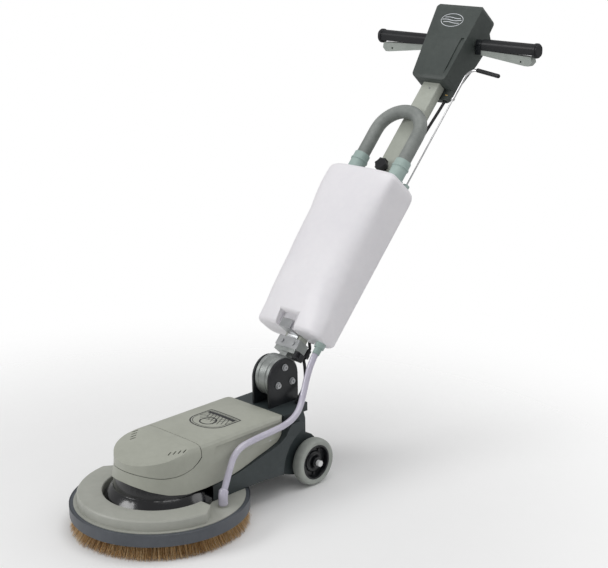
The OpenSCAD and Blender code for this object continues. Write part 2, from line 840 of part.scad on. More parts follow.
module pivot_bolts() {
    color("silver") both_sides() translate([0, pivot_y, pivot_z])
        for (a = bolt_angles) rotate([a - 90, 0, 0]) translate([0, 0, bolt_ring_r]) {
            rod_x(bolt_d / 2, lock_x, plate_out + 1);
            rod_x(9, plate_out, plate_out + 1.4);
            difference() {
                rod_x(7, plate_out + 1.3, plate_out + 5.5);
                translate([plate_out + 3, 0, 0]) rotate([0, 90, 0]) cylinder(h = 5, r = 2.9, $fn = 6);
            }
        }
}

module lead_gland() {
    color("black") translate([52, 406, deck_rear - 8]) difference() {
        union() {
            cylinder(h = 8, r = 7);
            translate([0, 0, 8]) cylinder(h = 5, r = 9);
        }
        translate([0, 0, -1]) cylinder(h = 20, r = lead_d / 2);
    }
}

// Cast foot of the handle: the middle disc, a neck, and a box round the tube
module handle_socket() {
    color([0.45, 0.47, 0.45]) on_handle() difference() {
        union() {
            disc_x(disc_d / 2, -tongue_x, tongue_x);
            translate([-tongue_x, 0, -16]) cube([tongue_t, socket_s + 2, 32]);
            translate([-socket_r, socket_s, -tube_d / 2 - 4])
                cube([2 * socket_r, socket_end - socket_s, tube_d / 2 + 4 + socket_front]);
        }
        rod_x(pin_d / 2 + run_fit, -big, big);
        translate([-tube_w / 2, tube_s, -tube_d / 2]) cube([tube_w, big, tube_d]);
        // Recess that the latch toe slides in
        translate([plate_x - 2, socket_s - 1, -9.5]) cube([big, 12, 19]);
        for (i = [-1, 1]) translate([19 * i, 84, 0]) cylinder(h = big, r = 3);
    }
}

module clamp_plate() {
    color("silver") on_handle() translate([0, 84, socket_front]) difference() {
        rounded_plate(2 * socket_r + 4, 27, 3, 3);
        for (i = [-1, 1]) translate([19 * i, 0, -1]) cylinder(h = 6, r = 3);
    }
}

module handle_screws() {
    color("silver") on_handle() {
        for (i = [-1, 1]) translate([19 * i, 84, tube_d / 2]) {
            cylinder(h = socket_front + 3 - tube_d / 2, r = 3);
            translate([0, 0, socket_front + 3 - tube_d / 2]) cylinder(h = 3, r = 5.5);
        }
        translate([4, bar_s - 156, tube_d / 2]) cylinder(h = 1.6, r = 2.5);
    }
}

module tilt_latch() {
    color("black") on_handle() difference() {
        union() {
            translate([socket_r + 0.4, 50.5, -10]) cube([12, 19.5, 27]);
            translate([plate_x + 0.5, 50.5, -8]) cube([socket_r + 2 - plate_x, 7.5, 16]);
        }
        translate([socket_r + 8, 56, 8]) cube([6, 11, 20]);
    }
}

// ---- Handle ----

module handle_tube() {
    color([0.66, 0.68, 0.64]) on_handle() translate([0, tube_s, 0]) rotate([-90, 0, 0])
        linear_extrude(tube_end - tube_s) difference() {
            rounded_outline(tube_w, tube_d, 4);
            rounded_outline(tube_w - 2 * tube_t, tube_d - 2 * tube_t, 2);
        }
}

module tank_hook() {
    color("silver") on_handle() {
        translate([-18, socket_end + 0.5, tube_d / 2]) cube([36, tank_s - 1 - socket_end, 3]);
        translate([-18, hook_s, tube_d / 2]) cube([36, 3, 46]);
        translate([-18, hook_s, tube_d / 2 + 43]) cube([36, 24, 3]);
    }
}

// Outline of the tank at height f (0 to 1), drawn in by w; x across, t out of the front
function tank_outline(f, w) =
    let (
        front = along(tank_front, f) - w,
        side = tank_r - w,
        shoulder = along(tank_shoulder, f),
        back = tank_back + w,
        corner = 22,
        half = tank_sides / 2
    )
    concat(
        [for (i = [0 : half - 1])
            let (q = 180 * i / (half - 1), c = cos(q), n = 2 / 3.2)
                [side * sign(c) * pow(abs(c), n),
                    shoulder + max(1, front - shoulder) * pow(sin(q), n)]],
        [for (i = [0 : half / 2 - 1])
            let (q = 180 + 90 * i / (half / 2 - 1))
                [-side + corner + corner * cos(q), back + corner + corner * sin(q)]],
        [for (i = [0 : half / 2 - 1])
            let (q = 270 + 90 * i / (half / 2 - 1))
                [side - corner + corner * cos(q), back + corner + corner * sin(q)]]
    );

module tank_form(w) {
    rotate([-90, 0, 0]) mirror([0, 1, 0]) skin([for (r = tank_rings)
        let (z = tank_s + w + r[0] * (tank_h - 2 * w))
            [for (p = tank_outline(r[0], w + r[1])) [p[0], p[1], z]]]);
}

module tank() {
    color([0.93, 0.93, 0.95]) on_handle() difference() {
        tank_form(0);
        difference() {
            tank_form(tank_t);
            // Walls round the tube's channel and the hook's notch
            translate([-tube_w / 2 - air - tank_t, 0, -big])
                cube([tube_w + 2 * (air + tank_t), big * 2, big + tube_d / 2 + 3 + tank_t]);
            translate([-notch_w / 2 - tank_t, 0, 50 - tank_t])
                cube([notch_w + 2 * tank_t, tank_s + notch_h + tank_t, big]);
        }
        // Channel for the tube and the lead
        translate([-tube_w / 2 - air, 0, -big]) cube([tube_w + 2 * air, big * 2, big + tube_d / 2 + 3]);
        // Notch for the hook
        translate([-notch_w / 2, 0, 50]) cube([notch_w, tank_s + notch_h, big]);
        // Outlet and rod guide holes
        translate([rod_x, 0, rod_t]) rotate([-90, 0, 0]) {
            cylinder(h = tank_s + 30, r = 9, $fn = 24);
            translate([0, 0, tank_s + tank_h - 30]) cylinder(h = 60, r = 6, $fn = 24);
        }
    }
}

filler_x = 70;
filler_t = 38;
cuff_top = 622;
module filler_cuffs() {
    color([0.55, 0.6, 0.58]) on_handle() both_sides() translate([filler_x, guide_s, filler_t])
        rotate([-90, 0, 0]) difference() {
            union() {
                cylinder(h = cuff_top - guide_s, r = filler_d / 2 + 3);
                cylinder(h = 8, r = filler_d / 2 + 6);
                translate([0, 0, cuff_top - guide_s - 22]) cylinder(h = 5, r = filler_d / 2 + 5);
            }
            translate([0, 0, cuff_top - guide_s - 14]) cylinder(h = 20, r = filler_d / 2);
            translate([0, 0, -1]) cylinder(h = big, r = filler_d / 2 - 4);
        }
}

// Loop of the filler hose: up from one cuff, over in a half round, down into the other
function filler_point(a) = [filler_x * cos(a), filler_top + (filler_top - 640) * 1.1 * sin(a), filler_t];
filler_route = concat(
    [for (s = [cuff_top - 14, 640, 668]) [filler_x, s, filler_t]],
    [for (a = [0 : 18 : 180]) filler_point(a)],
    [for (s = [668, 640, cuff_top - 14]) [-filler_x, s, filler_t]]
);

module filler_hose() {
    out = from_handle([0, 0, 1]) - from_handle([0, 0, 0]);
    color("gray") swept([for (p = filler_route) from_handle(p)], filler_d, out, 12);
}

module tank_knob() {
    color("black") on_handle() translate([0, knob_s, tube_d / 2 + 0.5]) {
        cylinder(h = 10, r = 9);
        translate([0, 0, 10]) cylinder(h = 14, r = 15, $fn = 48);
        for (a = [0 : 60 : 300]) rotate(a) translate([14, 0, 10]) cylinder(h = 14, r = 4);
    }
}

module outlet_fitting() {
    color([0.59, 0.69, 0.66]) on_handle() translate([rod_x, 0, rod_t]) rotate([-90, 0, 0]) difference() {
        union() {
            translate([0, 0, 96]) cylinder(h = tank_s - 96, r = 13);
            translate([0, 0, 80]) cylinder(h = 17, r = 9.5);
            translate([0, 0, tank_s - eps]) cylinder(h = tank_t + 4, r = 8.8);
        }
        translate([0, 0, 70]) cylinder(h = 60, r = 5);
    }
}

module rod_guide() {
    color([0.59, 0.69, 0.66]) on_handle() translate([rod_x, 0, rod_t]) rotate([-90, 0, 0]) difference() {
        union() {
            translate([0, 0, guide_s]) cylinder(h = 12, r = 9);
            translate([0, 0, guide_s - tank_t - 2]) cylinder(h = tank_t + 3, r = 5.8);
        }
        translate([0, 0, guide_s - 20]) cylinder(h = 60, r = rod_d / 2 + run_fit);
    }
}

// Bend of the pull rod: a quarter turn towards the side, then out to the grip
rod_r = 3.6;
bend_r = 28;
grip_lean = 8;
function bend_point(a) = [bend_r * (1 - cos(a)), rod_bend + bend_r * sin(a), 0];
rod_out = bend_point(90 - grip_lean);

module valve_rod() {
    color("silver") on_handle() translate([rod_x, 0, rod_t]) {
        rotate([-90, 0, 0]) {
            translate([0, 0, tank_s + tank_t + 4.3]) cylinder(h = 6, r = 8);
            translate([0, 0, tank_s + tank_t + 8]) cylinder(h = rod_thick - tank_s - tank_t, d = rod_d);
            translate([0, 0, rod_thick]) cylinder(h = 5, r = 5);
        }
        path = concat([[0, rod_thick + 2, 0], [0, rod_bend - 30, 0]],
            [for (a = [0 : 12 : 90 - grip_lean]) bend_point(a)],
            [bend_point(90 - grip_lean) + 16 * [cos(grip_lean), -sin(grip_lean), 0]]);
        swept(path, 2 * rod_r, [0, 0, 1], 16);
    }
}

module rod_grip() {
    color("black") on_handle() translate([rod_x, 0, rod_t] + rod_out) rotate([0, 0, -grip_lean])
        difference() {
            union() {
                rod_x(5.5, 4, 76);
                translate([76, 0, 0]) sphere(5.5);
            }
            rod_x(rod_r + 0.2, -1, 17);
        }
}

// ---- Control head ----

// Front view of the head: narrow below, wide above, with rounded corners
module head_outline(grow) {
    hull() {
        for (i = [-1, 1]) {
            translate([i * (43 + grow), head_low + 14 - grow]) circle(14, $fn = 40);
            translate([i * (62 + grow), head_high - 14 + grow]) circle(14, $fn = 40);
        }
    }
}

// Side view of the whole head: t out of the front, s up the handle
module head_side() {
    polygon([
        [head_low, 33], [head_low + 8, face_low], [head_high - 13, face_high],
        [head_high - 3, face_high - 2], [head_high, 48], [head_high, 2], [head_high - 5, -9],
        [head_high - 37, -15], [head_high - 45, -30], [head_high - 63, -38],
        [head_low + 99, -38], [head_low + 24, -30], [head_low - 26, -28],
        [head_low - 30, -16], [head_low, -15]
    ]);
}

module head_split() {
    translate([-big, 0, 12]) cube([2 * big, 2 * big, big]);
}

module head_cavity() {
    // The tube's end, and room for the switches and the wires
    translate([-tube_w / 2, 0, -tube_d / 2]) cube([tube_w, tube_end, tube_d]);
    translate([0, 0, -10]) linear_extrude(10 + switch_roof) head_outline(-5);
}

module head_body() {
    intersection() {
        translate([0, 0, -60]) linear_extrude(160) head_outline(0);
        across(100) head_side();
    }
}

module head_front() {
    color([0.3, 0.33, 0.32]) on_handle() difference() {
        intersection() {
            head_body();
            head_split();
        }
        head_cavity();
        translate([0, bar_s, bar_t]) rod_x(bar_r, -big, big);
        // Long tapered groove down the front, sunk parallel to the sloping face
        translate([0, head_low + 8, face_low - groove_deep]) rotate([face_lean, 0, 0])
            linear_extrude(30) polygon([
                [43, 8], [45, 56], [48, 101], [53, 132], [59, 124], [60, 101], [53, 51]
            ]);
    }
}

module head_back() {
    color([0.27, 0.3, 0.29]) on_handle() difference() {
        union() {
            difference() {
                head_body();
                head_split();
            }
            translate([0, head_low + 4, -30]) rounded_plate(104, 68, 12, 14);
        }
        head_cavity();
        translate([0, bar_s, bar_t]) rod_x(bar_r, -big, big);
        translate([40, 0, -22]) rotate([-90, 0, 0]) cylinder(h = head_low + 24, r = 6);
    }
}

module handlebar() {
    color("silver") on_bar() difference() {
        rod_x(bar_r, -grip_out, grip_out);
        rod_x(bar_r - 2, -big, big);
    }
}

// Section of a grip: rounded over the bar, open below for the switch lever
module grip_section() {
    difference() {
        union() {
            circle(14, $fn = 48);
            translate([-14, -14]) square([28, 14]);
        }
        translate([-lever_w / 2 - 1.2, -20]) square([lever_w + 2.4, 20 - bar_r - 1]);
        circle(bar_r);
    }
}

module grip() {
    translate([grip_in, 0, 0]) rotate([90, 0, 90]) linear_extrude(grip_out - grip_in) grip_section();
    translate([grip_out, 0, -3]) rotate([90, 0, 90]) {
        linear_extrude(8) rounded_outline(34, 38, 16);
        translate([0, 0, 8]) linear_extrude(4) rounded_outline(28, 32, 13);
    }
}

module grip_left() { color("black") on_bar() grip(); }
module grip_right() { color("black") on_bar() mirror([1, 0, 0]) grip(); }

module lever_bracket() {
    translate([72, 0, 0]) difference() {
        union() {
            rod_x(bar_r + 3, 0, 18);
            translate([0, -lever_w / 2 - 3, -26]) cube([18, lever_w + 6, 22]);
        }
        rod_x(bar_r, -1, 19);
        translate([-1, -lever_w / 2 - 0.4, -30]) cube([20, lever_w + 0.8, 30 - bar_r - 1.2]);
    }
    // Hinge pin
    translate([lever_pin_x, -lever_w / 2 - 3, -17]) rotate([-90, 0, 0]) cylinder(h = lever_w + 6, r = 2.5);
}

module lever_brackets() {
    color("gray") on_bar() both_sides() lever_bracket();
}

// Switch lever: a channel that hangs under the grip, hinged at its inner end
module lever() {
    rotate([90, 0, 0]) translate([0, 0, -lever_w / 2]) linear_extrude(lever_w) difference() {
        polygon([
            [lever_pin_x - 7, -14], [lever_pin_x - 7, -20], [lever_pin_x, -26],
            [lever_end - 22, -43], [lever_end - 10, -43], [lever_end, -33],
            [lever_end - 3, -19], [lever_pin_x + 30, -14.5], [lever_pin_x, -11.5]
        ]);
        translate([lever_pin_x, -17]) circle(2.5 + run_fit);
        translate([lever_end - 34, -33]) circle(3);
    }
}

module lever_left() { color("lightgray") on_bar() lever(); }
module lever_right() { color("lightgray") on_bar() mirror([1, 0, 0]) lever(); }

module microswitches() {
    color("black") on_handle() both_sides() translate([34, bar_s - 65, 12.5])
        cube([14, 28, switch_roof - 12.5]);
}

// ---- Hoses and lead ----

module water_hose() {
    color([0.78, 0.74, 0.85])
        swept(concat([for (s = [79.95, 72]) from_handle([rod_x, s, rod_t])], hose_route),
            hose_d, [1, 0.1, 0.2], 10);
}

module motor_lead() {
    color([0.08, 0.08, 0.08]) swept(
        concat([for (s = [0, 6]) from_handle(lead_plug - [0, s, 0])], lead_route),
        lead_d, [1, 0, 0.1], 8);
}

module handle_lead() {
    route = concat([for (s = [0, 5]) lead_plug + [0, lead_plug_l + s, 0]], lead_up_route);
    color([0.08, 0.08, 0.08]) swept([for (p = route) from_handle(p)], lead_d, [1, 0, 0], 8);
}

module lead_connector() {
    color("black") on_handle() translate(lead_plug) rotate([-90, 0, 0]) {
        cylinder(h = lead_plug_l / 2, r = 8.5);
        translate([0, 0, lead_plug_l / 2]) cylinder(h = lead_plug_l / 2, r = 7);
    }
}

bumper_ring();
deck();
hose_spigot();
motor_skirt();
chassis();
top_cover();
nose_cap();
cover_screws();
motor_can();
motor_stator();
run_capacitor();
gearbox_case();
motor_rotor();
cooling_fan();
planet_gear_1();
planet_gear_2();
planet_gear_3();
planet_carrier();
drive_plate();
brush_block();
bristles();
axle();
axle_caps();
tyre_left();
hub_left();
tyre_right();
hub_right();
pivot_plate_left();
pivot_plate_right();
lock_discs();
pivot_pin();
pivot_bolts();
lead_gland();
handle_socket();
clamp_plate();
handle_screws();
handle_tube();
tank_hook();
tank();
filler_cuffs();
filler_hose();
tank_knob();
outlet_fitting();
rod_guide();
valve_rod();
rod_grip();
tilt_latch();
head_front();
head_back();
handlebar();
grip_left();
grip_right();
lever_brackets();
lever_left();
lever_right();
microswitches();
water_hose();
motor_lead();
handle_lead();
lead_connector();
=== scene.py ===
# %% [markdown]
# # A wet floor scrubber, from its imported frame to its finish
# The frame holds every piece of the machine at its real place and size. This lesson gives
# each piece the small shapes and the surface that a maker sees on the real machine. It starts
# with the frame, because every place below is worked out from it.

# %% Load the frame
import bpy, bmesh, json, math
from mathutils import Matrix, Vector
from mathutils.bvhtree import BVHTree


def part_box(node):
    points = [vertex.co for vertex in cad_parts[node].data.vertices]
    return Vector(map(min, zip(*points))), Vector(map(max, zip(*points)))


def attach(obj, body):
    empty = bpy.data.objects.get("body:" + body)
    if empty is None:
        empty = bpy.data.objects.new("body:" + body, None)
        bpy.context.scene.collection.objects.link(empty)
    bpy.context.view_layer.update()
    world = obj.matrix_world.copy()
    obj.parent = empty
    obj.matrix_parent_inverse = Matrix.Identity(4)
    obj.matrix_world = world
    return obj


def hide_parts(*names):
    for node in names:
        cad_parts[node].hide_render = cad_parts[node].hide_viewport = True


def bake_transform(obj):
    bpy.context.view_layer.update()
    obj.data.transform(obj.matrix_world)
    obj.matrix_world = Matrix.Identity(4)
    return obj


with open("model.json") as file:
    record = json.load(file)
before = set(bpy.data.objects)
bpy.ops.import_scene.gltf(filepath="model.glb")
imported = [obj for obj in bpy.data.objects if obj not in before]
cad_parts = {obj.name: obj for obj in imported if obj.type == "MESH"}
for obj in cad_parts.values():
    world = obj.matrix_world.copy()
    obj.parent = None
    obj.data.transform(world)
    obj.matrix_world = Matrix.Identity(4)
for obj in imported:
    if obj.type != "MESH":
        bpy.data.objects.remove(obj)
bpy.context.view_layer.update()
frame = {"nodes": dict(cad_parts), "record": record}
record = frame["record"]
bodies_of = {node: body for body, nodes in record["behaviour"]["bodies"].items() for node in nodes}
slots_of = {part["node"]: part["material_slot"] for part in record["subparts"]}

# %% [markdown]
# ## The joint and the handle's own directions
# The handle leans back, so its pieces are easiest to place along the handle: across, up the
# tube, and out of its front. The pivot and the lean come from the frame's own joints.

# %% Handle directions
joints = {joint["name"]: joint for joint in record["behaviour"]["joints"]}
pivot = Vector(joints["handle_tilt"]["pos_m"])
up_handle = Vector(joints["valve_pull"]["axis"]).normalized()
out_front = Vector(joints["knob_turn"]["axis"]).normalized()


def on_handle(x, s, t):
    """A point given in millimetres across, up and out of the handle, in the row frame."""
    return pivot + Vector((x, 0, 0)) / 1000 + up_handle * (s / 1000) + out_front * (t / 1000)


print("pivot", tuple(pivot), "handle points", tuple(round(c, 4) for c in up_handle))

# %% [markdown]
# ## Camera, floor and light
# A long lens from the front left corner, a little above the machine, shows the round deck,
# the side of the cover and the tank at once. The floor is pale and plain, and broad soft
# lamps keep the dark plastics readable.

# %% Camera
YAW, RISE, ROLL = math.radians(44.973), math.radians(16.458), math.radians(-0.793)
camera_data = bpy.data.cameras.new("camera")
camera_data.lens = 86.34
camera_data.sensor_width = 36.0
camera_data.clip_end = 50.0
camera = bpy.data.objects.new("camera", camera_data)
camera.matrix_world = (
    Matrix.Translation((2.4437, -1.9623, 1.4918))
    @ Matrix.Rotation(YAW, 4, "Z")
    @ Matrix.Rotation(math.pi / 2 - RISE, 4, "X")
    @ Matrix.Rotation(ROLL, 4, "Z")
)
bpy.context.scene.collection.objects.link(camera)
bpy.context.scene.camera = camera
print("camera at", tuple(round(c, 3) for c in camera.location))


# %% Floor and lamps
def link(obj):
    bpy.context.scene.collection.objects.link(obj)
    return obj


def area_lamp(name, place, target, size, power, colour=(1, 1, 1)):
    data = bpy.data.lights.new(name, "AREA")
    data.shape, data.size, data.energy, data.color = "DISK", size, power, colour
    lamp = link(bpy.data.objects.new(name, data))
    lamp.location = place
    lamp.rotation_euler = (Vector(target) - Vector(place)).to_track_quat("-Z", "Y").to_euler()
    return lamp


middle = (0.0, 0.4, 0.5)
area_lamp("key_lamp", (-1.8, -3.0, 2.6), middle, 2.0, 62)
area_lamp("side_fill", (3.2, -0.6, 1.2), middle, 2.4, 9)
area_lamp("top_lamp", (0.2, 0.6, 3.6), middle, 2.6, 34)
area_lamp("back_lamp", (1.6, 3.2, 2.4), middle, 2.0, 16)

world = bpy.data.worlds.new("studio")
bpy.context.scene.world = world
world.use_nodes = True
studio = world.node_tree
room = studio.nodes["Background"]
room.inputs["Color"].default_value = (1.0, 1.0, 1.0, 1)
room.inputs["Strength"].default_value = 0.42
backdrop = studio.nodes.new("ShaderNodeBackground")
backdrop.inputs["Color"].default_value = (1.0, 1.0, 1.0, 1)
backdrop.inputs["Strength"].default_value = 1.0
seen = studio.nodes.new("ShaderNodeLightPath")
choose = studio.nodes.new("ShaderNodeMixShader")
studio.links.new(seen.outputs["Is Camera Ray"], choose.inputs["Fac"])
studio.links.new(room.outputs[0], choose.inputs[1])
studio.links.new(backdrop.outputs[0], choose.inputs[2])
studio.links.new(choose.outputs[0], studio.nodes["World Output"].inputs["Surface"])
bpy.context.scene.view_settings.view_transform = "Standard"

floor_mesh = bpy.data.meshes.new("floor")
floor_mesh.from_pydata([(-30, -30, 0), (30, -30, 0), (30, 30, 0), (-30, 30, 0)], [], [(0, 1, 2, 3)])
floor = link(bpy.data.objects.new("floor", floor_mesh))

# %% [markdown]
# ## Effects that several finishes share
# Moulded plastic, powder coat and cast metal all have a fine grain, a slow change of tone
# where hands and dust have been, and faint scratches. Each effect is one node group with its
# own inputs, so a finish only says how large and how strong it is.


# %% Node helpers
def new_group(name, inputs, outputs):
    group = bpy.data.node_groups.new(name, "ShaderNodeTree")
    for label, value in inputs:
        socket = group.interface.new_socket(label, in_out="INPUT", socket_type="NodeSocketFloat")
        socket.default_value = value
    for label, kind in outputs:
        group.interface.new_socket(label, in_out="OUTPUT", socket_type=kind)
    return group, group.nodes.new("NodeGroupInput"), group.nodes.new("NodeGroupOutput")


def math_node(tree, operation, first, second=None, third=None):
    node = tree.nodes.new("ShaderNodeMath")
    node.operation = operation
    for socket, value in zip(node.inputs, (first, second, third)):
        if value is None:
            continue
        if isinstance(value, (int, float)):
            socket.default_value = value
        else:
            tree.links.new(value, socket)
    return node.outputs[0]


def noise_node(tree, vector, scale, detail=4.0, rough=0.6):
    node = tree.nodes.new("ShaderNodeTexNoise")
    node.inputs["Detail"].default_value = detail
    node.inputs["Roughness"].default_value = rough
    tree.links.new(vector, node.inputs["Vector"])
    if isinstance(scale, (int, float)):
        node.inputs["Scale"].default_value = scale
    else:
        tree.links.new(scale, node.inputs["Scale"])
    return node.outputs["Fac"]


# %% The shared surface effect
def make_surface_effect():
    group, entry, out = new_group(
        "surface_detail",
        [("Grain Size", 900.0), ("Grain Depth", 0.5), ("Tone", 0.1), ("Scratches", 0.1)],
        [("Height", "NodeSocketFloat"), ("Tone Mask", "NodeSocketFloat"), ("Wear Mask", "NodeSocketFloat")],
    )
    place = group.nodes.new("ShaderNodeTexCoord").outputs["Object"]
    grain = noise_node(group, place, entry.outputs["Grain Size"], 3.0, 0.55)
    broad = noise_node(group, place, 9.0, 5.0, 0.62)
    fine = noise_node(group, place, 60.0, 4.0, 0.6)
    stretch = group.nodes.new("ShaderNodeMapping")
    stretch.inputs["Scale"].default_value = (40.0, 7.0, 160.0)
    stretch.inputs["Rotation"].default_value = (0.3, 0.2, 0.5)
    group.links.new(place, stretch.inputs["Vector"])
    lines = noise_node(group, stretch.outputs[0], 3.0, 2.0, 0.5)
    ridge = math_node(group, "SUBTRACT", 1.0, math_node(group, "MULTIPLY", math_node(
        group, "ABSOLUTE", math_node(group, "SUBTRACT", lines, 0.5)), 34.0))
    cut = math_node(group, "MAXIMUM", ridge, 0.0)
    scratch = math_node(group, "MULTIPLY", cut, entry.outputs["Scratches"])
    relief = math_node(group, "MULTIPLY", grain, entry.outputs["Grain Depth"])
    height = math_node(group, "SUBTRACT", relief, scratch)
    group.links.new(height, out.inputs["Height"])
    mixed = math_node(
        group, "ADD", math_node(group, "MULTIPLY", broad, 0.65), math_node(group, "MULTIPLY", fine, 0.35)
    )
    tone = math_node(group, "MULTIPLY", math_node(group, "SUBTRACT", mixed, 0.5), entry.outputs["Tone"])
    group.links.new(math_node(group, "ADD", tone, 0.5), out.inputs["Tone Mask"])
    group.links.new(scratch, out.inputs["Wear Mask"])
    return group


surface_detail = make_surface_effect()
print("shared effect", surface_detail.name)


# %% [markdown]
# ## Finishes
# A finish is a shader with its own colours, gloss and metal, fed by the shared effect. The
# tone mask moves between a darker and a lighter version of the colour, so no surface is one
# flat colour, and the grain and scratches go to the bump.


# %% Finish maker
def finish(name, dark, light, rough, grain=(900.0, 0.5), bump=0.15, tone=1.0,
           scratches=0.1, spread=0.08, **shader):
    material = bpy.data.materials.new(name)
    material.use_nodes = True
    tree = material.node_tree
    bsdf = tree.nodes["Principled BSDF"]
    effect = tree.nodes.new("ShaderNodeGroup")
    effect.node_tree = surface_detail
    effect.inputs["Grain Size"].default_value = grain[0]
    effect.inputs["Grain Depth"].default_value = grain[1]
    effect.inputs["Tone"].default_value = tone
    effect.inputs["Scratches"].default_value = scratches
    ramp = tree.nodes.new("ShaderNodeValToRGB")
    ramp.color_ramp.elements[0].color = (*dark, 1)
    ramp.color_ramp.elements[1].color = (*light, 1)
    ramp.color_ramp.elements[0].position, ramp.color_ramp.elements[1].position = 0.3, 0.7
    tree.links.new(effect.outputs["Tone Mask"], ramp.inputs["Fac"])
    tree.links.new(ramp.outputs["Color"], bsdf.inputs["Base Color"])
    gloss = math_node(tree, "ADD", rough, math_node(tree, "MULTIPLY", math_node(
        tree, "SUBTRACT", effect.outputs["Tone Mask"], 0.5), spread))
    tree.links.new(gloss, bsdf.inputs["Roughness"])
    relief = tree.nodes.new("ShaderNodeBump")
    relief.inputs["Strength"].default_value = bump
    relief.inputs["Distance"].default_value = 0.0006
    tree.links.new(effect.outputs["Height"], relief.inputs["Height"])
    tree.links.new(relief.outputs["Normal"], bsdf.inputs["Normal"])
    for socket, value in shader.items():
        bsdf.inputs[socket.replace("_", " ")].default_value = value
    return material


def linear(r, g, b):
    """A colour from everyday 0 to 255 values, as the shader wants it."""
    return tuple((c / 255) ** 2.2 for c in (r, g, b))


# %% The finishes of the machine
FINISHES = {
    "cover_grey": finish("cover_grey", linear(158, 160, 149), linear(172, 174, 163), 0.42),
    "deck_grey": finish("deck_grey", linear(156, 158, 150), linear(172, 173, 165), 0.45),
    "skirt_black": finish("skirt_black", linear(8, 9, 13), linear(15, 16, 22),
                          0.2, tone=1.4, Coat_Weight=0.4),
    "chassis_dark": finish("chassis_dark", linear(44, 51, 53), linear(58, 66, 67),
                           0.5, (600.0, 0.8), 0.25),
    "bumper_grey": finish("bumper_grey", linear(64, 68, 74), linear(82, 86, 92),
                          0.42, (500.0, 0.6), 0.2),
    "zinc_steel": finish("zinc_steel", (0.42, 0.43, 0.44), (0.62, 0.63, 0.64),
                         0.34, (300.0, 0.4), 0.1, 1.6, Metallic=1.0),
    "bright_steel": finish("bright_steel", (0.66, 0.66, 0.67), (0.82, 0.82, 0.83),
                           0.16, (300.0, 0.2), 0.05, Metallic=1.0),
    "cast_grey": finish("cast_grey", linear(138, 142, 140), linear(176, 180, 178),
                        0.4, (420.0, 1.0), 0.5, 1.6, Metallic=0.7),
    "winding_copper": finish("winding_copper", (0.35, 0.12, 0.05), (0.55, 0.22, 0.1),
                             0.35, Metallic=0.9),
    "gear_metal": finish("gear_metal", (0.40, 0.34, 0.22), (0.55, 0.48, 0.34), 0.32, Metallic=1.0),
    "brush_wood": finish("brush_wood", linear(84, 58, 34), linear(116, 82, 50),
                         0.6, (200.0, 1.0), 0.4, 2.0),
    "tyre_grey": finish("tyre_grey", linear(142, 147, 142), linear(166, 170, 164),
                        0.62, (700.0, 0.8), 0.3, 1.4),
    "hub_black": finish("hub_black", linear(12, 14, 17), linear(24, 27, 30), 0.32),
    "cap_white": finish("cap_white", linear(206, 208, 208), linear(232, 233, 232),
                        0.25, Coat_Weight=0.3),
    "black_plate": finish("black_plate", linear(20, 22, 25), linear(38, 41, 44),
                          0.34, (500.0, 0.7), 0.3, 1.4),
    "tube_grey": finish("tube_grey", linear(166, 170, 160), linear(184, 188, 178),
                        0.36, (450.0, 0.5), 0.18),
    "tank_white": finish("tank_white", (0.84, 0.82, 0.86), (0.90, 0.88, 0.91), 0.38, (300.0, 0.3), 0.06,
                         Subsurface_Weight=0.15, Subsurface_Scale=0.01, Subsurface_Radius=(1.0, 0.9, 0.9)),
    "cuff_green": finish("cuff_green", linear(144, 164, 160), linear(172, 190, 184),
                         0.4, (500.0, 0.4), 0.1),
    "filler_grey": finish("filler_grey", linear(112, 117, 114), linear(146, 150, 147),
                          0.45, (500.0, 0.6), 0.15),
    "black_plastic": finish("black_plastic", linear(18, 19, 22), linear(32, 34, 37),
                            0.4, (800.0, 0.8), 0.3),
    "head_grey": finish("head_grey", linear(58, 64, 62), linear(76, 82, 79), 0.48, (1100.0, 1.0), 0.4),
    "lever_grey": finish("lever_grey", linear(150, 157, 152), linear(176, 182, 176), 0.4),
    "hose_clear": finish("hose_clear", linear(204, 200, 218), linear(226, 222, 236),
                         0.22, (60.0, 0.2), 0.05,
                         Transmission_Weight=0.25, Coat_Weight=0.6),
    "cable_black": finish("cable_black", linear(14, 14, 16), linear(26, 26, 28), 0.5, (700.0, 0.5), 0.2),
}
FINISHES["bristle_tan"] = finish("bristle_tan", linear(96, 66, 36), linear(206, 164, 104),
                                 0.7, (260.0, 0.6), 0.2, 2.4)
floor_finish = finish("pale_floor", (0.93, 0.93, 0.93), (0.95, 0.95, 0.95), 0.7, (40.0, 0.2), 0.02, 0.6)
def fade_floor(material):
    """Beyond a few metres the floor gives way to the bright room, so no horizon is drawn."""
    tree = material.node_tree
    place = tree.nodes.new("ShaderNodeTexCoord")
    reach = tree.nodes.new("ShaderNodeVectorMath")
    reach.operation = "LENGTH"
    tree.links.new(place.outputs["Object"], reach.inputs[0])
    share = tree.nodes.new("ShaderNodeMapRange")
    share.interpolation_type = "SMOOTHSTEP"
    for label, value in (("From Min", 0.5), ("From Max", 1.6)):
        share.inputs[label].default_value = value
    tree.links.new(reach.outputs["Value"], share.inputs["Value"])
    clear = tree.nodes.new("ShaderNodeBsdfTransparent")
    both = tree.nodes.new("ShaderNodeMixShader")
    tree.links.new(share.outputs["Result"], both.inputs["Fac"])
    tree.links.new(tree.nodes["Principled BSDF"].outputs[0], both.inputs[1])
    tree.links.new(clear.outputs[0], both.inputs[2])
    tree.links.new(both.outputs[0], tree.nodes["Material Output"].inputs["Surface"])


fade_floor(floor_finish)
floor.data.materials.append(floor_finish)
print(len(FINISHES), "finishes")

# %% [markdown]
# ## Real edges on the framed pieces
# A moulded or machined piece never has a knife edge. Each shown CAD piece is copied, its
# loose triangles are merged into clean faces, and a narrow bevel with hardened normals
# rounds its edges. The copy rides on the same body and stands for the CAD piece.


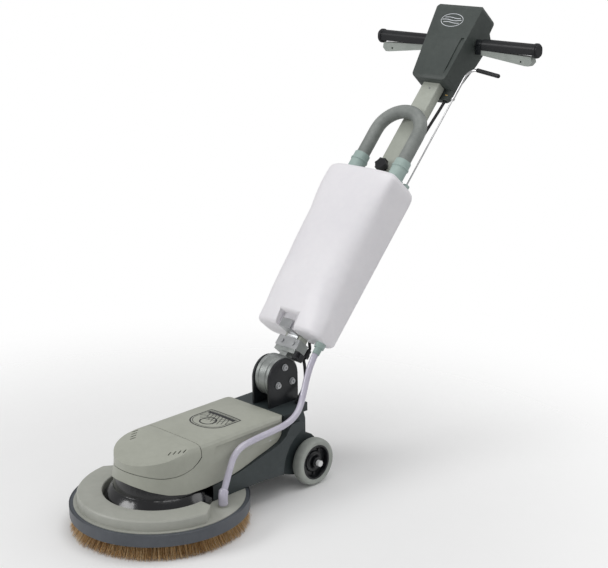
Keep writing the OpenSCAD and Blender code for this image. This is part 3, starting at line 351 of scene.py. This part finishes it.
# %% Edge maker
def cad_mesh(node, flatten=True):
    mesh = frame["nodes"][node].data.copy()
    shell = bmesh.new()
    shell.from_mesh(mesh)
    bmesh.ops.remove_doubles(shell, verts=shell.verts, dist=2e-6)
    if flatten:
        bmesh.ops.dissolve_limit(shell, angle_limit=math.radians(0.6), verts=shell.verts, edges=shell.edges)
    shell.to_mesh(mesh)
    shell.free()
    mesh.materials.clear()
    return mesh


# A face with a sunk groove in it keeps its triangles, so that it shades as one flat face
HOLED = ("head_front",)


def edged(node, width, segments=2, angle=32.0, name=None):
    mesh = cad_mesh(node, flatten=node not in HOLED)
    mesh.name = name or node + "_piece"
    obj = link(bpy.data.objects.new(mesh.name, mesh))
    mesh.shade_smooth()
    mesh.set_sharp_from_angle(angle=math.radians(angle))
    if width:
        bevel = obj.modifiers.new("edge", "BEVEL")
        bevel.width = width / 1000
        bevel.segments = segments
        bevel.limit_method = "ANGLE"
        bevel.angle_limit = math.radians(angle)
        bevel.harden_normals = True
        bevel.use_clamp_overlap = True
    mesh.materials.append(FINISHES[slots_of[node]])
    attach(obj, bodies_of[node])
    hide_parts(node)
    return obj


# %% Edge widths of the shown pieces, in millimetres
EDGES = {
    "bumper_ring": 2.5, "deck": 1.2, "hose_spigot": 0.8, "motor_skirt": 0.8, "chassis": 1.5,
    "top_cover": 1.2, "nose_cap": 1.2, "axle_caps": 1.0, "tyre_left": 0, "tyre_right": 0,
    "hub_left": 0.8, "hub_right": 0.8, "pivot_plate_left": 1.0, "pivot_plate_right": 1.0,
    "lock_discs": 0.8, "pivot_pin": 0.8, "pivot_bolts": 0.6, "lead_gland": 0.6,
    "handle_socket": 1.2, "clamp_plate": 0.6, "handle_screws": 0.4, "tank_hook": 0.5,
    "handle_tube": 0, "filler_cuffs": 1.0, "tank_knob": 1.2, "outlet_fitting": 0.8, "rod_guide": 0.5,
    "valve_rod": 0, "rod_grip": 0, "tilt_latch": 1.0, "head_front": 0.8, "head_back": 2.5,
    "grip_left": 1.2, "grip_right": 1.2, "lever_brackets": 0.6, "lever_left": 1.2, "lever_right": 1.2,
    "lead_connector": 0.8, "tank": 0, "brush_block": 1.0, "cover_screws": 0.3,
}
pieces = {node: edged(node, width) for node, width in EDGES.items()}
for node, obj in frame["nodes"].items():
    if node not in EDGES:
        obj.data.materials.clear()
        obj.data.materials.append(FINISHES[slots_of[node]])
print("edged", len(pieces), "pieces")

# %% [markdown]
# ## Shadow in the seams
# The nose cap meets the cover at an open seam. The walls of that seam are painted black as
# painted shade, and the black sheet under the vent slots is painted shade too. The wall faces
# are found by distance: each one lies within a few millimetres of the other moulding.

# %% Seam walls
def surface_of(*nodes):
    both = bmesh.new()
    for node in nodes:
        both.from_mesh(frame["nodes"][node].data)
    return BVHTree.FromBMesh(both)


# Gives the faces that look at the other moulding within reach a black finish: painted shade in the seam.
def paint_seam_shade(node, other, reach, finish_name):
    mesh, near = pieces[node].data, surface_of(other)
    mesh.materials.append(FINISHES[finish_name])
    count = 0
    for face in mesh.polygons:
        if abs(face.normal.z) > 0.9:
            continue
        hit = near.ray_cast(face.center + face.normal * 1e-5, face.normal, reach)[0]
        if hit is not None:
            face.material_index = len(mesh.materials) - 1
            count += 1
    return count


print("seam faces", paint_seam_shade("nose_cap", "top_cover", 0.006, "skirt_black"),
      paint_seam_shade("top_cover", "nose_cap", 0.006, "skirt_black"))

# %% Painted shade behind the vents
cap_tree = surface_of("nose_cap")


def under_cap(x, y, drop):
    """A point under the cap's skin; beside a vent the skin is read from just outside it."""
    places = [(0, 0), (4, 0), (-4, 0), (0, 9), (0, -9)]
    hits = [cap_tree.ray_cast(Vector(((x + a) / 1000, (y + b) / 1000, 0.3)), Vector((0, 0, -1)))[0]
            for a, b in places]
    return Vector((x / 1000, y / 1000, sorted(hit.z for hit in hits if hit)[2] - drop / 1000))

# %% [markdown]
# ## Hoses and leads
# A hose is a tube that follows one smooth route between its two fittings. The routes repeat
# the frame's own points. A curve through them is sampled closely, and a ring of points is set
# square to it at each sample; ribs, cuffs and mouldings are changes of that ring's radius.

# %% Route and tube makers
def smooth_route(points, step=0.004):
    """Points about step apart on a smooth curve through the given ones."""
    points = [Vector(p) for p in points]
    ends = [2 * points[0] - points[1]] + points + [2 * points[-1] - points[-2]]
    out = []
    for a, b, c, d in zip(ends, ends[1:], ends[2:], ends[3:]):
        count = max(2, round((c - b).length / step))
        for k in range(count):
            t = k / count
            out.append(0.5 * (2 * b + (c - a) * t + (2 * a - 5 * b + 4 * c - d) * t * t
                              + (3 * b - a - 3 * c + d) * t ** 3))
    return out + [points[-1]]


def route_length(path):
    return sum((b - a).length for a, b in zip(path, path[1:]))


def tube(name, path, radius, sides=20):
    """A closed tube along path; radius is a number or a function of the distance along it."""
    reach = radius if callable(radius) else (lambda along: radius)
    mesh = bpy.data.meshes.new(name)
    side = Vector((0.31, 0.2, 0.93)).cross(path[1] - path[0]).normalized()
    rings, along = [], 0.0
    for i, p in enumerate(path):
        heading = (path[min(i + 1, len(path) - 1)] - path[max(i - 1, 0)]).normalized()
        side = (side - heading * side.dot(heading)).normalized()
        up = heading.cross(side)
        along += (p - path[i - 1]).length if i else 0.0
        r = reach(along)
        rings.append([p + r * (math.cos(a) * side + math.sin(a) * up)
                      for a in (2 * math.pi * k / sides for k in range(sides))])
    verts = [v for ring in rings for v in ring]
    faces = []
    for low in range(0, (len(rings) - 1) * sides, sides):
        for k in range(sides):
            after = (k + 1) % sides
            faces.append((low + k, low + after, low + sides + after, low + sides + k))
    faces.append(tuple(range(sides))[::-1])
    faces.append(tuple((len(rings) - 1) * sides + k for k in range(sides)))
    mesh.from_pydata(verts, [], faces)
    uv = mesh.uv_layers.new(name="UVMap")
    total = route_length(path)
    lengths = [0.0]
    for a, b in zip(path, path[1:]):
        lengths.append(lengths[-1] + (b - a).length)
    for face in mesh.polygons:
        for corner in face.loop_indices:
            v = mesh.loops[corner].vertex_index
            uv.data[corner].uv = ((v % sides) / sides, lengths[v // sides] / total)
    mesh.shade_smooth()
    obj = link(bpy.data.objects.new(name, mesh))
    return obj


def dress(obj, body, slot, *nodes):
    obj.data.materials.append(FINISHES[slot])
    if body:
        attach(obj, body)
    if nodes:
        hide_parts(*nodes)
    return obj


def millimetres(points):
    return [Vector(p) / 1000 for p in points]


# %% Painted shade sheets under the vents
def vent_shade_sheet(side):
    """A small black sheet 3.6 mm under the cap's surface, below the four vents of one side: painted shade for
    the dark inside the vents.
    """
    mesh = bpy.data.meshes.new("vent_baffle")
    across_n, along_n = 9, 9
    verts, faces = [], []
    for j in range(along_n):
        for i in range(across_n):
            share = i / (across_n - 1)
            x = 58 + 36 * share
            y = -33 + 36 * share + 24 * j / (along_n - 1)
            verts.append(under_cap(side * x, y, 3.6))
    for j in range(along_n - 1):
        for i in range(across_n - 1):
            a = j * across_n + i
            faces.append((a, a + 1, a + 1 + across_n, a + across_n))
    mesh.from_pydata(verts, [], faces)
    obj = link(bpy.data.objects.new("vent_baffle_" + ("right" if side > 0 else "left"), mesh))
    return dress(obj, "chassis", "skirt_black")


vent_shade_sheets = [vent_shade_sheet(1), vent_shade_sheet(-1)]

# %% The clear water hose
hose_route = smooth_route([on_handle(86, 79.95, 4), on_handle(86, 72, 4)] + millimetres([
    (86, 422, 304), (86, 413, 289), (87, 402, 266), (90, 390, 242), (95, 377, 222),
    (102, 362, 208), (109, 343, 197), (114, 318, 188), (115, 290, 182), (115, 260, 179.5),
    (115, 225, 177.5), (115, 190, 175), (115, 162, 171.5), (116, 142, 164), (119, 124, 150),
    (126, 107, 132), (135, 89, 114), (144, 73, 99), (149, 65, 91), (151, 62, 86)]))
water_hose = tube("water_hose_clear", hose_route, 0.0079, 24)
water_hose.data.materials.append(FINISHES["hose_clear"])
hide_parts("water_hose")
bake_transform(water_hose)

# %% The clear cuff that ties the hose to its spigot
cuff_path = smooth_route(millimetres([
    (151, 62, 67.5), (151, 62, 80), (150.6, 62.4, 88), (149, 65, 94), (145.5, 70.5, 101)]), 0.002)
cuff_length = route_length(cuff_path)


def cuff_radius(along):
    share = along / cuff_length
    ridge = 0.0006 if abs(along - 0.004) < 0.0015 or abs(along - cuff_length + 0.005) < 0.0015 else 0.0
    return (0.0112 if share < 0.85 else 0.0112 - 0.0028 * (share - 0.85) / 0.15) + ridge


hose_cuff = dress(tube("hose_cuff", cuff_path, cuff_radius, 28), "chassis", "hose_clear")

# %% The ribbed filler hose
# The loop stands on two cuffs on the tank. Its wall is corrugated so that it can bend: about
# one rib every 4.6 mm. The rib is a cosine on the radius of the tube.
filler_points = [on_handle(70, s, 38) for s in (608, 640, 668)]
filler_points += [on_handle(70 * math.cos(a), 700 + 66 * math.sin(a), 38)
                  for a in (math.radians(18 * k) for k in range(11))]
filler_points += [on_handle(-70, s, 38) for s in (668, 640, 608)]
filler_route = smooth_route(filler_points, 0.00115)
filler_length = route_length(filler_route)


def rib_radius(along):
    edge = min(along, filler_length - along)
    depth = 0.0009 if edge > 0.016 else 0.0
    return 0.0178 - depth * (0.5 - 0.5 * math.cos(2 * math.pi * along / 0.0046))


filler_loop = dress(tube("filler_loop", filler_route, rib_radius, 36), "handle", "filler_grey", "filler_hose")
print("filler hose", round(filler_length, 3), "m")

# %% The black leads
plug = (30, 72, -29)
motor_route = smooth_route([on_handle(*plug), on_handle(30, 66, -29)] + millimetres([
    (31, 450, 277), (34, 449, 262), (39, 444, 240), (46, 428, 220), (51, 412, 209),
    (52, 406, 202), (52, 406, 197)]), 0.003)
motor_lead = tube("motor_lead_black", motor_route, 0.0039, 14)
motor_lead.data.materials.append(FINISHES["cable_black"])
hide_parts("motor_lead")
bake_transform(motor_lead)

lead_route = smooth_route([on_handle(30, 94, -29), on_handle(30, 99, -29)] + [on_handle(*p) for p in (
    (26, 107, -26), (22, 116, -23), (22, 130, -22), (22, 190, -22), (22, 260, -22), (22, 360, -22),
    (22, 460, -22), (23, 560, -22), (26, 640, -21), (32, 720, -20), (38, 790, -20),
    (40, 840, -22), (40, 866, -22))], 0.005)
handle_lead = dress(tube("handle_lead_black", lead_route, 0.0039, 14), "handle", "cable_black", "handle_lead")
print("leads", round(route_length(motor_route), 3), round(route_length(lead_route), 3), "m")

# %% [markdown]
# ## Bristles
# The brush is a wooden block drilled with rows of tufts. Each tuft is a bundle of stiff
# fibres, and the outer rows are splayed by the weight of the machine. A node tree places one
# thin tapered fibre at many points of a ring, leans each a little differently, and then bends
# the whole row outwards towards the floor.

# %% Bristle tree
def random_node(tree, low, high, seed):
    node = tree.nodes.new("FunctionNodeRandomValue")
    node.data_type = "FLOAT"
    for name, value in (("Min", low), ("Max", high)):
        socket = next(s for s in node.inputs if s.name == name and s.type == "VALUE")
        if isinstance(value, (int, float)):
            socket.default_value = value
        else:
            tree.links.new(value, socket)
    node.inputs["Seed"].default_value = seed
    return next(s for s in node.outputs if s.type == "VALUE")


def combine_node(tree, x, y, z):
    node = tree.nodes.new("ShaderNodeCombineXYZ")
    for socket, value in zip(node.inputs, (x, y, z)):
        if isinstance(value, (int, float)):
            socket.default_value = value
        else:
            tree.links.new(value, socket)
    return node.outputs[0]


def make_bristle_tree():
    tree = bpy.data.node_groups.new("bristle_row", "GeometryNodeTree")
    face = tree.interface
    face.new_socket("Geometry", in_out="OUTPUT", socket_type="NodeSocketGeometry")
    for label, kind, value in (("Tufts", "NodeSocketInt", 120), ("Fibres", "NodeSocketInt", 20),
                               ("Radius", "NodeSocketFloat", 0.18), ("Root Height", "NodeSocketFloat", 0.037),
                               ("Length", "NodeSocketFloat", 0.036), ("Thickness", "NodeSocketFloat", 0.0005),
                               ("Tuft Width", "NodeSocketFloat", 0.003), ("Flare", "NodeSocketFloat", 0.02),
                               ("Material", "NodeSocketMaterial", None)):
        socket = face.new_socket(label, in_out="INPUT", socket_type=kind)
        if value is not None:
            socket.default_value = value
    entry, out = tree.nodes.new("NodeGroupInput"), tree.nodes.new("NodeGroupOutput")
    value = entry.outputs
    count = math_node(tree, "MULTIPLY", value["Tufts"], value["Fibres"])
    points = tree.nodes.new("GeometryNodePoints")
    tree.links.new(count, points.inputs["Count"])
    index = tree.nodes.new("GeometryNodeInputIndex").outputs[0]
    tuft = math_node(tree, "FLOOR", math_node(tree, "DIVIDE", index, value["Fibres"]))
    swing = math_node(tree, "MULTIPLY", random_node(tree, -1.0, 1.0, 3), value["Tuft Width"])
    tuft_turn = math_node(tree, "MULTIPLY", math_node(tree, "DIVIDE", tuft, value["Tufts"]), 2 * math.pi)
    turn = math_node(tree, "ADD", tuft_turn, math_node(tree, "DIVIDE", swing, value["Radius"]))
    stray = math_node(tree, "MULTIPLY", random_node(tree, -1.0, 1.0, 8), value["Tuft Width"])
    reach = math_node(tree, "ADD", value["Radius"], stray)
    root_x = math_node(tree, "MULTIPLY", reach, math_node(tree, "COSINE", turn))
    root_y = math_node(tree, "MULTIPLY", reach, math_node(tree, "SINE", turn))
    place = combine_node(tree, root_x, root_y, value["Root Height"])
    tree.links.new(place, points.inputs["Position"])
    fibre = tree.nodes.new("GeometryNodeMeshCone")
    fibre.fill_type = "NONE"
    fibre.inputs["Vertices"].default_value = 3
    fibre.inputs["Side Segments"].default_value = 3
    tree.links.new(value["Thickness"], fibre.inputs["Radius Bottom"])
    tree.links.new(math_node(tree, "MULTIPLY", value["Thickness"], 0.6), fibre.inputs["Radius Top"])
    tree.links.new(value["Length"], fibre.inputs["Depth"])
    scatter = tree.nodes.new("GeometryNodeInstanceOnPoints")
    tree.links.new(points.outputs[0], scatter.inputs["Points"])
    tree.links.new(fibre.outputs["Mesh"], scatter.inputs["Instance"])
    # The fibre hangs from its root: half a turn over, then a small random lean each way
    tip_over = random_node(tree, math.pi - 0.12, math.pi + 0.12, 5)
    lean = combine_node(tree, tip_over, random_node(tree, -0.05, 0.22, 9), turn)
    spin = tree.nodes.new("FunctionNodeEulerToRotation")
    tree.links.new(lean, spin.inputs[0])
    tree.links.new(spin.outputs[0], scatter.inputs["Rotation"])
    size = random_node(tree, 0.86, 1.0, 6)
    tree.links.new(combine_node(tree, 1.0, 1.0, size), scatter.inputs["Scale"])
    shade = tree.nodes.new("GeometryNodeStoreNamedAttribute")
    shade.data_type, shade.domain = "FLOAT", "INSTANCE"
    shade.inputs["Name"].default_value = "fibre_shade"
    tree.links.new(scatter.outputs[0], shade.inputs["Geometry"])
    shade_value = next(s for s in shade.inputs if s.name == "Value" and s.type == "VALUE")
    tree.links.new(random_node(tree, 0.0, 1.0, 11), shade_value)
    real = tree.nodes.new("GeometryNodeRealizeInstances")
    tree.links.new(shade.outputs[0], real.inputs[0])
    spot = tree.nodes.new("ShaderNodeSeparateXYZ")
    tree.links.new(tree.nodes.new("GeometryNodeInputPosition").outputs[0], spot.inputs[0])
    x, y = spot.outputs["X"], spot.outputs["Y"]
    below = math_node(tree, "SUBTRACT", value["Root Height"], spot.outputs["Z"])
    drop = math_node(tree, "MAXIMUM", math_node(tree, "DIVIDE", below, value["Length"]), 0.0)
    push = math_node(tree, "MULTIPLY", value["Flare"], math_node(tree, "POWER", drop, 1.6))
    squares = math_node(tree, "ADD", math_node(tree, "MULTIPLY", x, x), math_node(tree, "MULTIPLY", y, y))
    far = math_node(tree, "SQRT", squares)
    push_x = math_node(tree, "MULTIPLY", push, math_node(tree, "DIVIDE", x, far))
    push_y = math_node(tree, "MULTIPLY", push, math_node(tree, "DIVIDE", y, far))
    move = tree.nodes.new("GeometryNodeSetPosition")
    tree.links.new(real.outputs[0], move.inputs["Geometry"])
    tree.links.new(combine_node(tree, push_x, push_y, 0.0), move.inputs["Offset"])
    coat = tree.nodes.new("GeometryNodeSetMaterial")
    tree.links.new(move.outputs[0], coat.inputs["Geometry"])
    tree.links.new(value["Material"], coat.inputs["Material"])
    tree.links.new(coat.outputs[0], out.inputs[0])
    return tree


def grow(name, tree, **values):
    """Runs a node tree on an empty object and keeps its result as a plain mesh."""
    holder = link(bpy.data.objects.new(name, bpy.data.meshes.new(name)))
    nodes = holder.modifiers.new("nodes", "NODES")
    nodes.node_group = tree
    for item in tree.interface.items_tree:
        if item.in_out == "INPUT" and item.name.replace(" ", "_") in values:
            nodes[item.identifier] = values[item.name.replace(" ", "_")]
    bpy.context.view_layer.update()
    mesh = bpy.data.meshes.new_from_object(holder.evaluated_get(bpy.context.evaluated_depsgraph_get()))
    bpy.data.objects.remove(holder)
    return mesh


# %% Bristle finish
def make_bristle_finish():
    material = FINISHES["bristle_tan"]
    tree = material.node_tree
    bsdf = tree.nodes["Principled BSDF"]
    shade = tree.nodes.new("ShaderNodeAttribute")
    shade.attribute_name = "fibre_shade"
    ramp = tree.nodes.new("ShaderNodeValToRGB")
    stops = ((0.0, linear(104, 72, 42)), (0.3, linear(164, 124, 80)),
             (0.65, linear(208, 172, 122)), (1.0, linear(240, 214, 168)))
    while len(ramp.color_ramp.elements) < len(stops):
        ramp.color_ramp.elements.new(0.5)
    for element, (spot, colour) in zip(ramp.color_ramp.elements, stops):
        element.position, element.color = spot, (*colour, 1)
    tree.links.new(shade.outputs["Fac"], ramp.inputs["Fac"])
    tree.links.new(ramp.outputs["Color"], bsdf.inputs["Base Color"])
    return material


# %% Plant the rows
bristle_tree = make_bristle_tree()
bristle_finish = make_bristle_finish()
block_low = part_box("brush_block")[0][2]
ROWS = [(0.186, 140, 26, 0.00042, 0.0030, 0.024), (0.179, 130, 18, 0.0005, 0.0034, 0.019),
        (0.170, 116, 12, 0.0007, 0.0036, 0.012), (0.160, 90, 5, 0.0013, 0.004, 0.006)]
ROWS += [(0.148 - 0.012 * k, 80 - 6 * k, 5, 0.0016, 0.0045, 0.0) for k in range(7)]
brush = bmesh.new()
for row, (radius, tufts, fibres, thickness, width, flare) in enumerate(ROWS):
    row_mesh = grow("row_%d" % row, bristle_tree, Tufts=tufts, Fibres=fibres, Radius=radius,
                    Root_Height=block_low + 0.001, Length=block_low + 0.0005, Thickness=thickness,
                    Tuft_Width=width, Flare=flare, Material=bristle_finish)
    brush.from_mesh(row_mesh)
brush_mesh = bpy.data.meshes.new("brush_fibres")
brush.to_mesh(brush_mesh)
brush.free()
low = min(v.co.z for v in brush_mesh.vertices)
for v in brush_mesh.vertices:
    v.co.z += (0.0002 - low) * (1 - (v.co.z - low) / (block_low + 0.001 - low))
brush_mesh.materials.append(bristle_finish)
for face in brush_mesh.polygons:
    face.material_index = 0
brush_fibres = link(bpy.data.objects.new("brush_fibres", brush_mesh))
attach(brush_fibres, bodies_of["bristles"])
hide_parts("bristles")
print("brush", len(brush_mesh.polygons), "faces, widest",
      round(max(math.hypot(v.co.x, v.co.y) for v in brush_mesh.vertices), 4))

# %% [markdown]
# ## Small parts on the handle
# The lead enters the head through a gland with a brass ring.

# %% Brass ring at the lead's gland
def ring_path(middle_point, axis, radius, count=32):
    across_axis = axis.orthogonal().normalized()
    other = axis.cross(across_axis)
    return [middle_point + radius * (math.cos(a) * across_axis + math.sin(a) * other)
            for a in (2 * math.pi * k / count for k in range(count + 1))]


FINISHES["brass"] = finish("brass", (0.52, 0.33, 0.1), (0.72, 0.5, 0.2), 0.28, Metallic=1.0)
gland_path = ring_path(on_handle(40, 862, -22), up_handle, 0.0062)
gland_ring = dress(tube("gland_ring", gland_path, 0.0018, 10), "handle", "gear_metal")
gland_ring.data.materials[0] = FINISHES["brass"]

# %% [markdown]
# ## Printed marks
# The cover and the head each carry a printed mark. Ours are plain shapes: a shield with a
# lattice, and an oval with waves. Each line is a thin ribbon laid a tenth of a millimetre
# above the surface, so it bends with the cover and never flickers.

# %% Ribbon maker
def ribbons(name, lines, onto, body, finish_name):
    """Lines are (points, width, closed) in the flat; onto turns a flat point into a place."""
    mesh, verts, faces = bpy.data.meshes.new(name), [], []
    for points, width, closed in lines:
        points = [Vector(p) for p in points]
        dense = []
        pairs = list(zip(points, points[1:] + points[:1] if closed else points[1:]))
        for a, b in pairs:
            count = max(1, round((b - a).length / 4))
            dense += [a.lerp(b, k / count) for k in range(count)]
        if not closed:
            dense.append(points[-1])
        first, n = len(verts), len(dense)
        for i, p in enumerate(dense):
            before = dense[i - 1] if i or closed else p
            after = dense[(i + 1) % n] if i < n - 1 or closed else p
            heading = (after - before).normalized()
            side = Vector((-heading.y, heading.x)) * width / 2
            verts += [onto(p + side), onto(p - side)]
        for i in range(n if closed else n - 1):
            a, b = first + 2 * i, first + 2 * ((i + 1) % n)
            faces.append((a, a + 1, b + 1, b))
    mesh.from_pydata(verts, [], faces)
    obj = link(bpy.data.objects.new(name, mesh))
    mesh.materials.append(FINISHES[finish_name])
    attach(obj, body)
    return obj


cover_tree = surface_of("top_cover", "nose_cap")


def on_cover(p, lift=0.12):
    hit = cover_tree.ray_cast(Vector((p.x / 1000, p.y / 1000, 0.3)), Vector((0, 0, -1)))[0]
    return hit + Vector((0, 0, lift / 1000))


# %% Shield on the cover
def oval(middle_x, middle_y, half_width, half_height, count):
    return [(middle_x + half_width * math.cos(a), middle_y + half_height * math.sin(a))
            for a in (2 * math.pi * q / count for q in range(count))]


def shield(cx, cy, half, height, inset):
    w, h = half - inset, height / 2 - inset
    side = [(cx + w, cy + h), (cx + w, cy - 0.1 * h)]
    curve = [(cx + w * math.cos(a), cy - 0.1 * h - 0.9 * h * math.sin(a)) for a in
             (math.radians(q) for q in range(10, 180, 10))]
    return side + curve + [(cx - w, cy - 0.1 * h), (cx - w, cy + h)]


cx, cy = 3, 163
lines = [(shield(cx, cy, 53, 96, 1), 3.4, True), (shield(cx, cy, 53, 96, 6.5), 1.6, True)]
lines.append(([(cx - 45, cy + 33), (cx + 45, cy + 33)], 11.0, False))
for k in range(-3, 4):
    reach = 44 - abs(k) * 7.0
    lines.append(([(cx + 11 * k, cy + 27), (cx + 11 * k + reach * 0.5, cy + 27 - reach)], 1.8, False))
    lines.append(([(cx + 11 * k, cy + 27), (cx + 11 * k - reach * 0.5, cy + 27 - reach)], 1.8, False))
lines.append((oval(cx, cy - 10, 20, 20, 24), 3.6, True))
cover_mark = ribbons("cover_mark", lines, on_cover, "chassis", "black_plastic")

# %% Oval and waves on the head
head_tree = surface_of("head_front", "head_back")


def on_head(p, lift=0.12):
    start = on_handle(p.x, p.y, 120)
    hit = head_tree.ray_cast(start, -out_front)[0]
    return hit + out_front * (lift / 1000)


FINISHES["mark_silver"] = finish("mark_silver", linear(196, 200, 206), linear(226, 229, 233),
                                 0.3, bump=0.05)
hx, hs = -6, 1049
lines = [(oval(hx, hs, 36, 19, 30), 1.6, True)]
for row, drop in enumerate((7, 0, -7)):
    span = (26, 33, 26)[row]
    wave = [(hx - span + 4 * k, hs + drop + 1.5 * math.sin(k * 0.45)) for k in range(span // 2 + 1)]
    lines.append((wave, 1.8, False))
head_mark = ribbons("head_mark", lines, on_head, "handle", "mark_silver")
print("marks", len(cover_mark.data.polygons), len(head_mark.data.polygons))
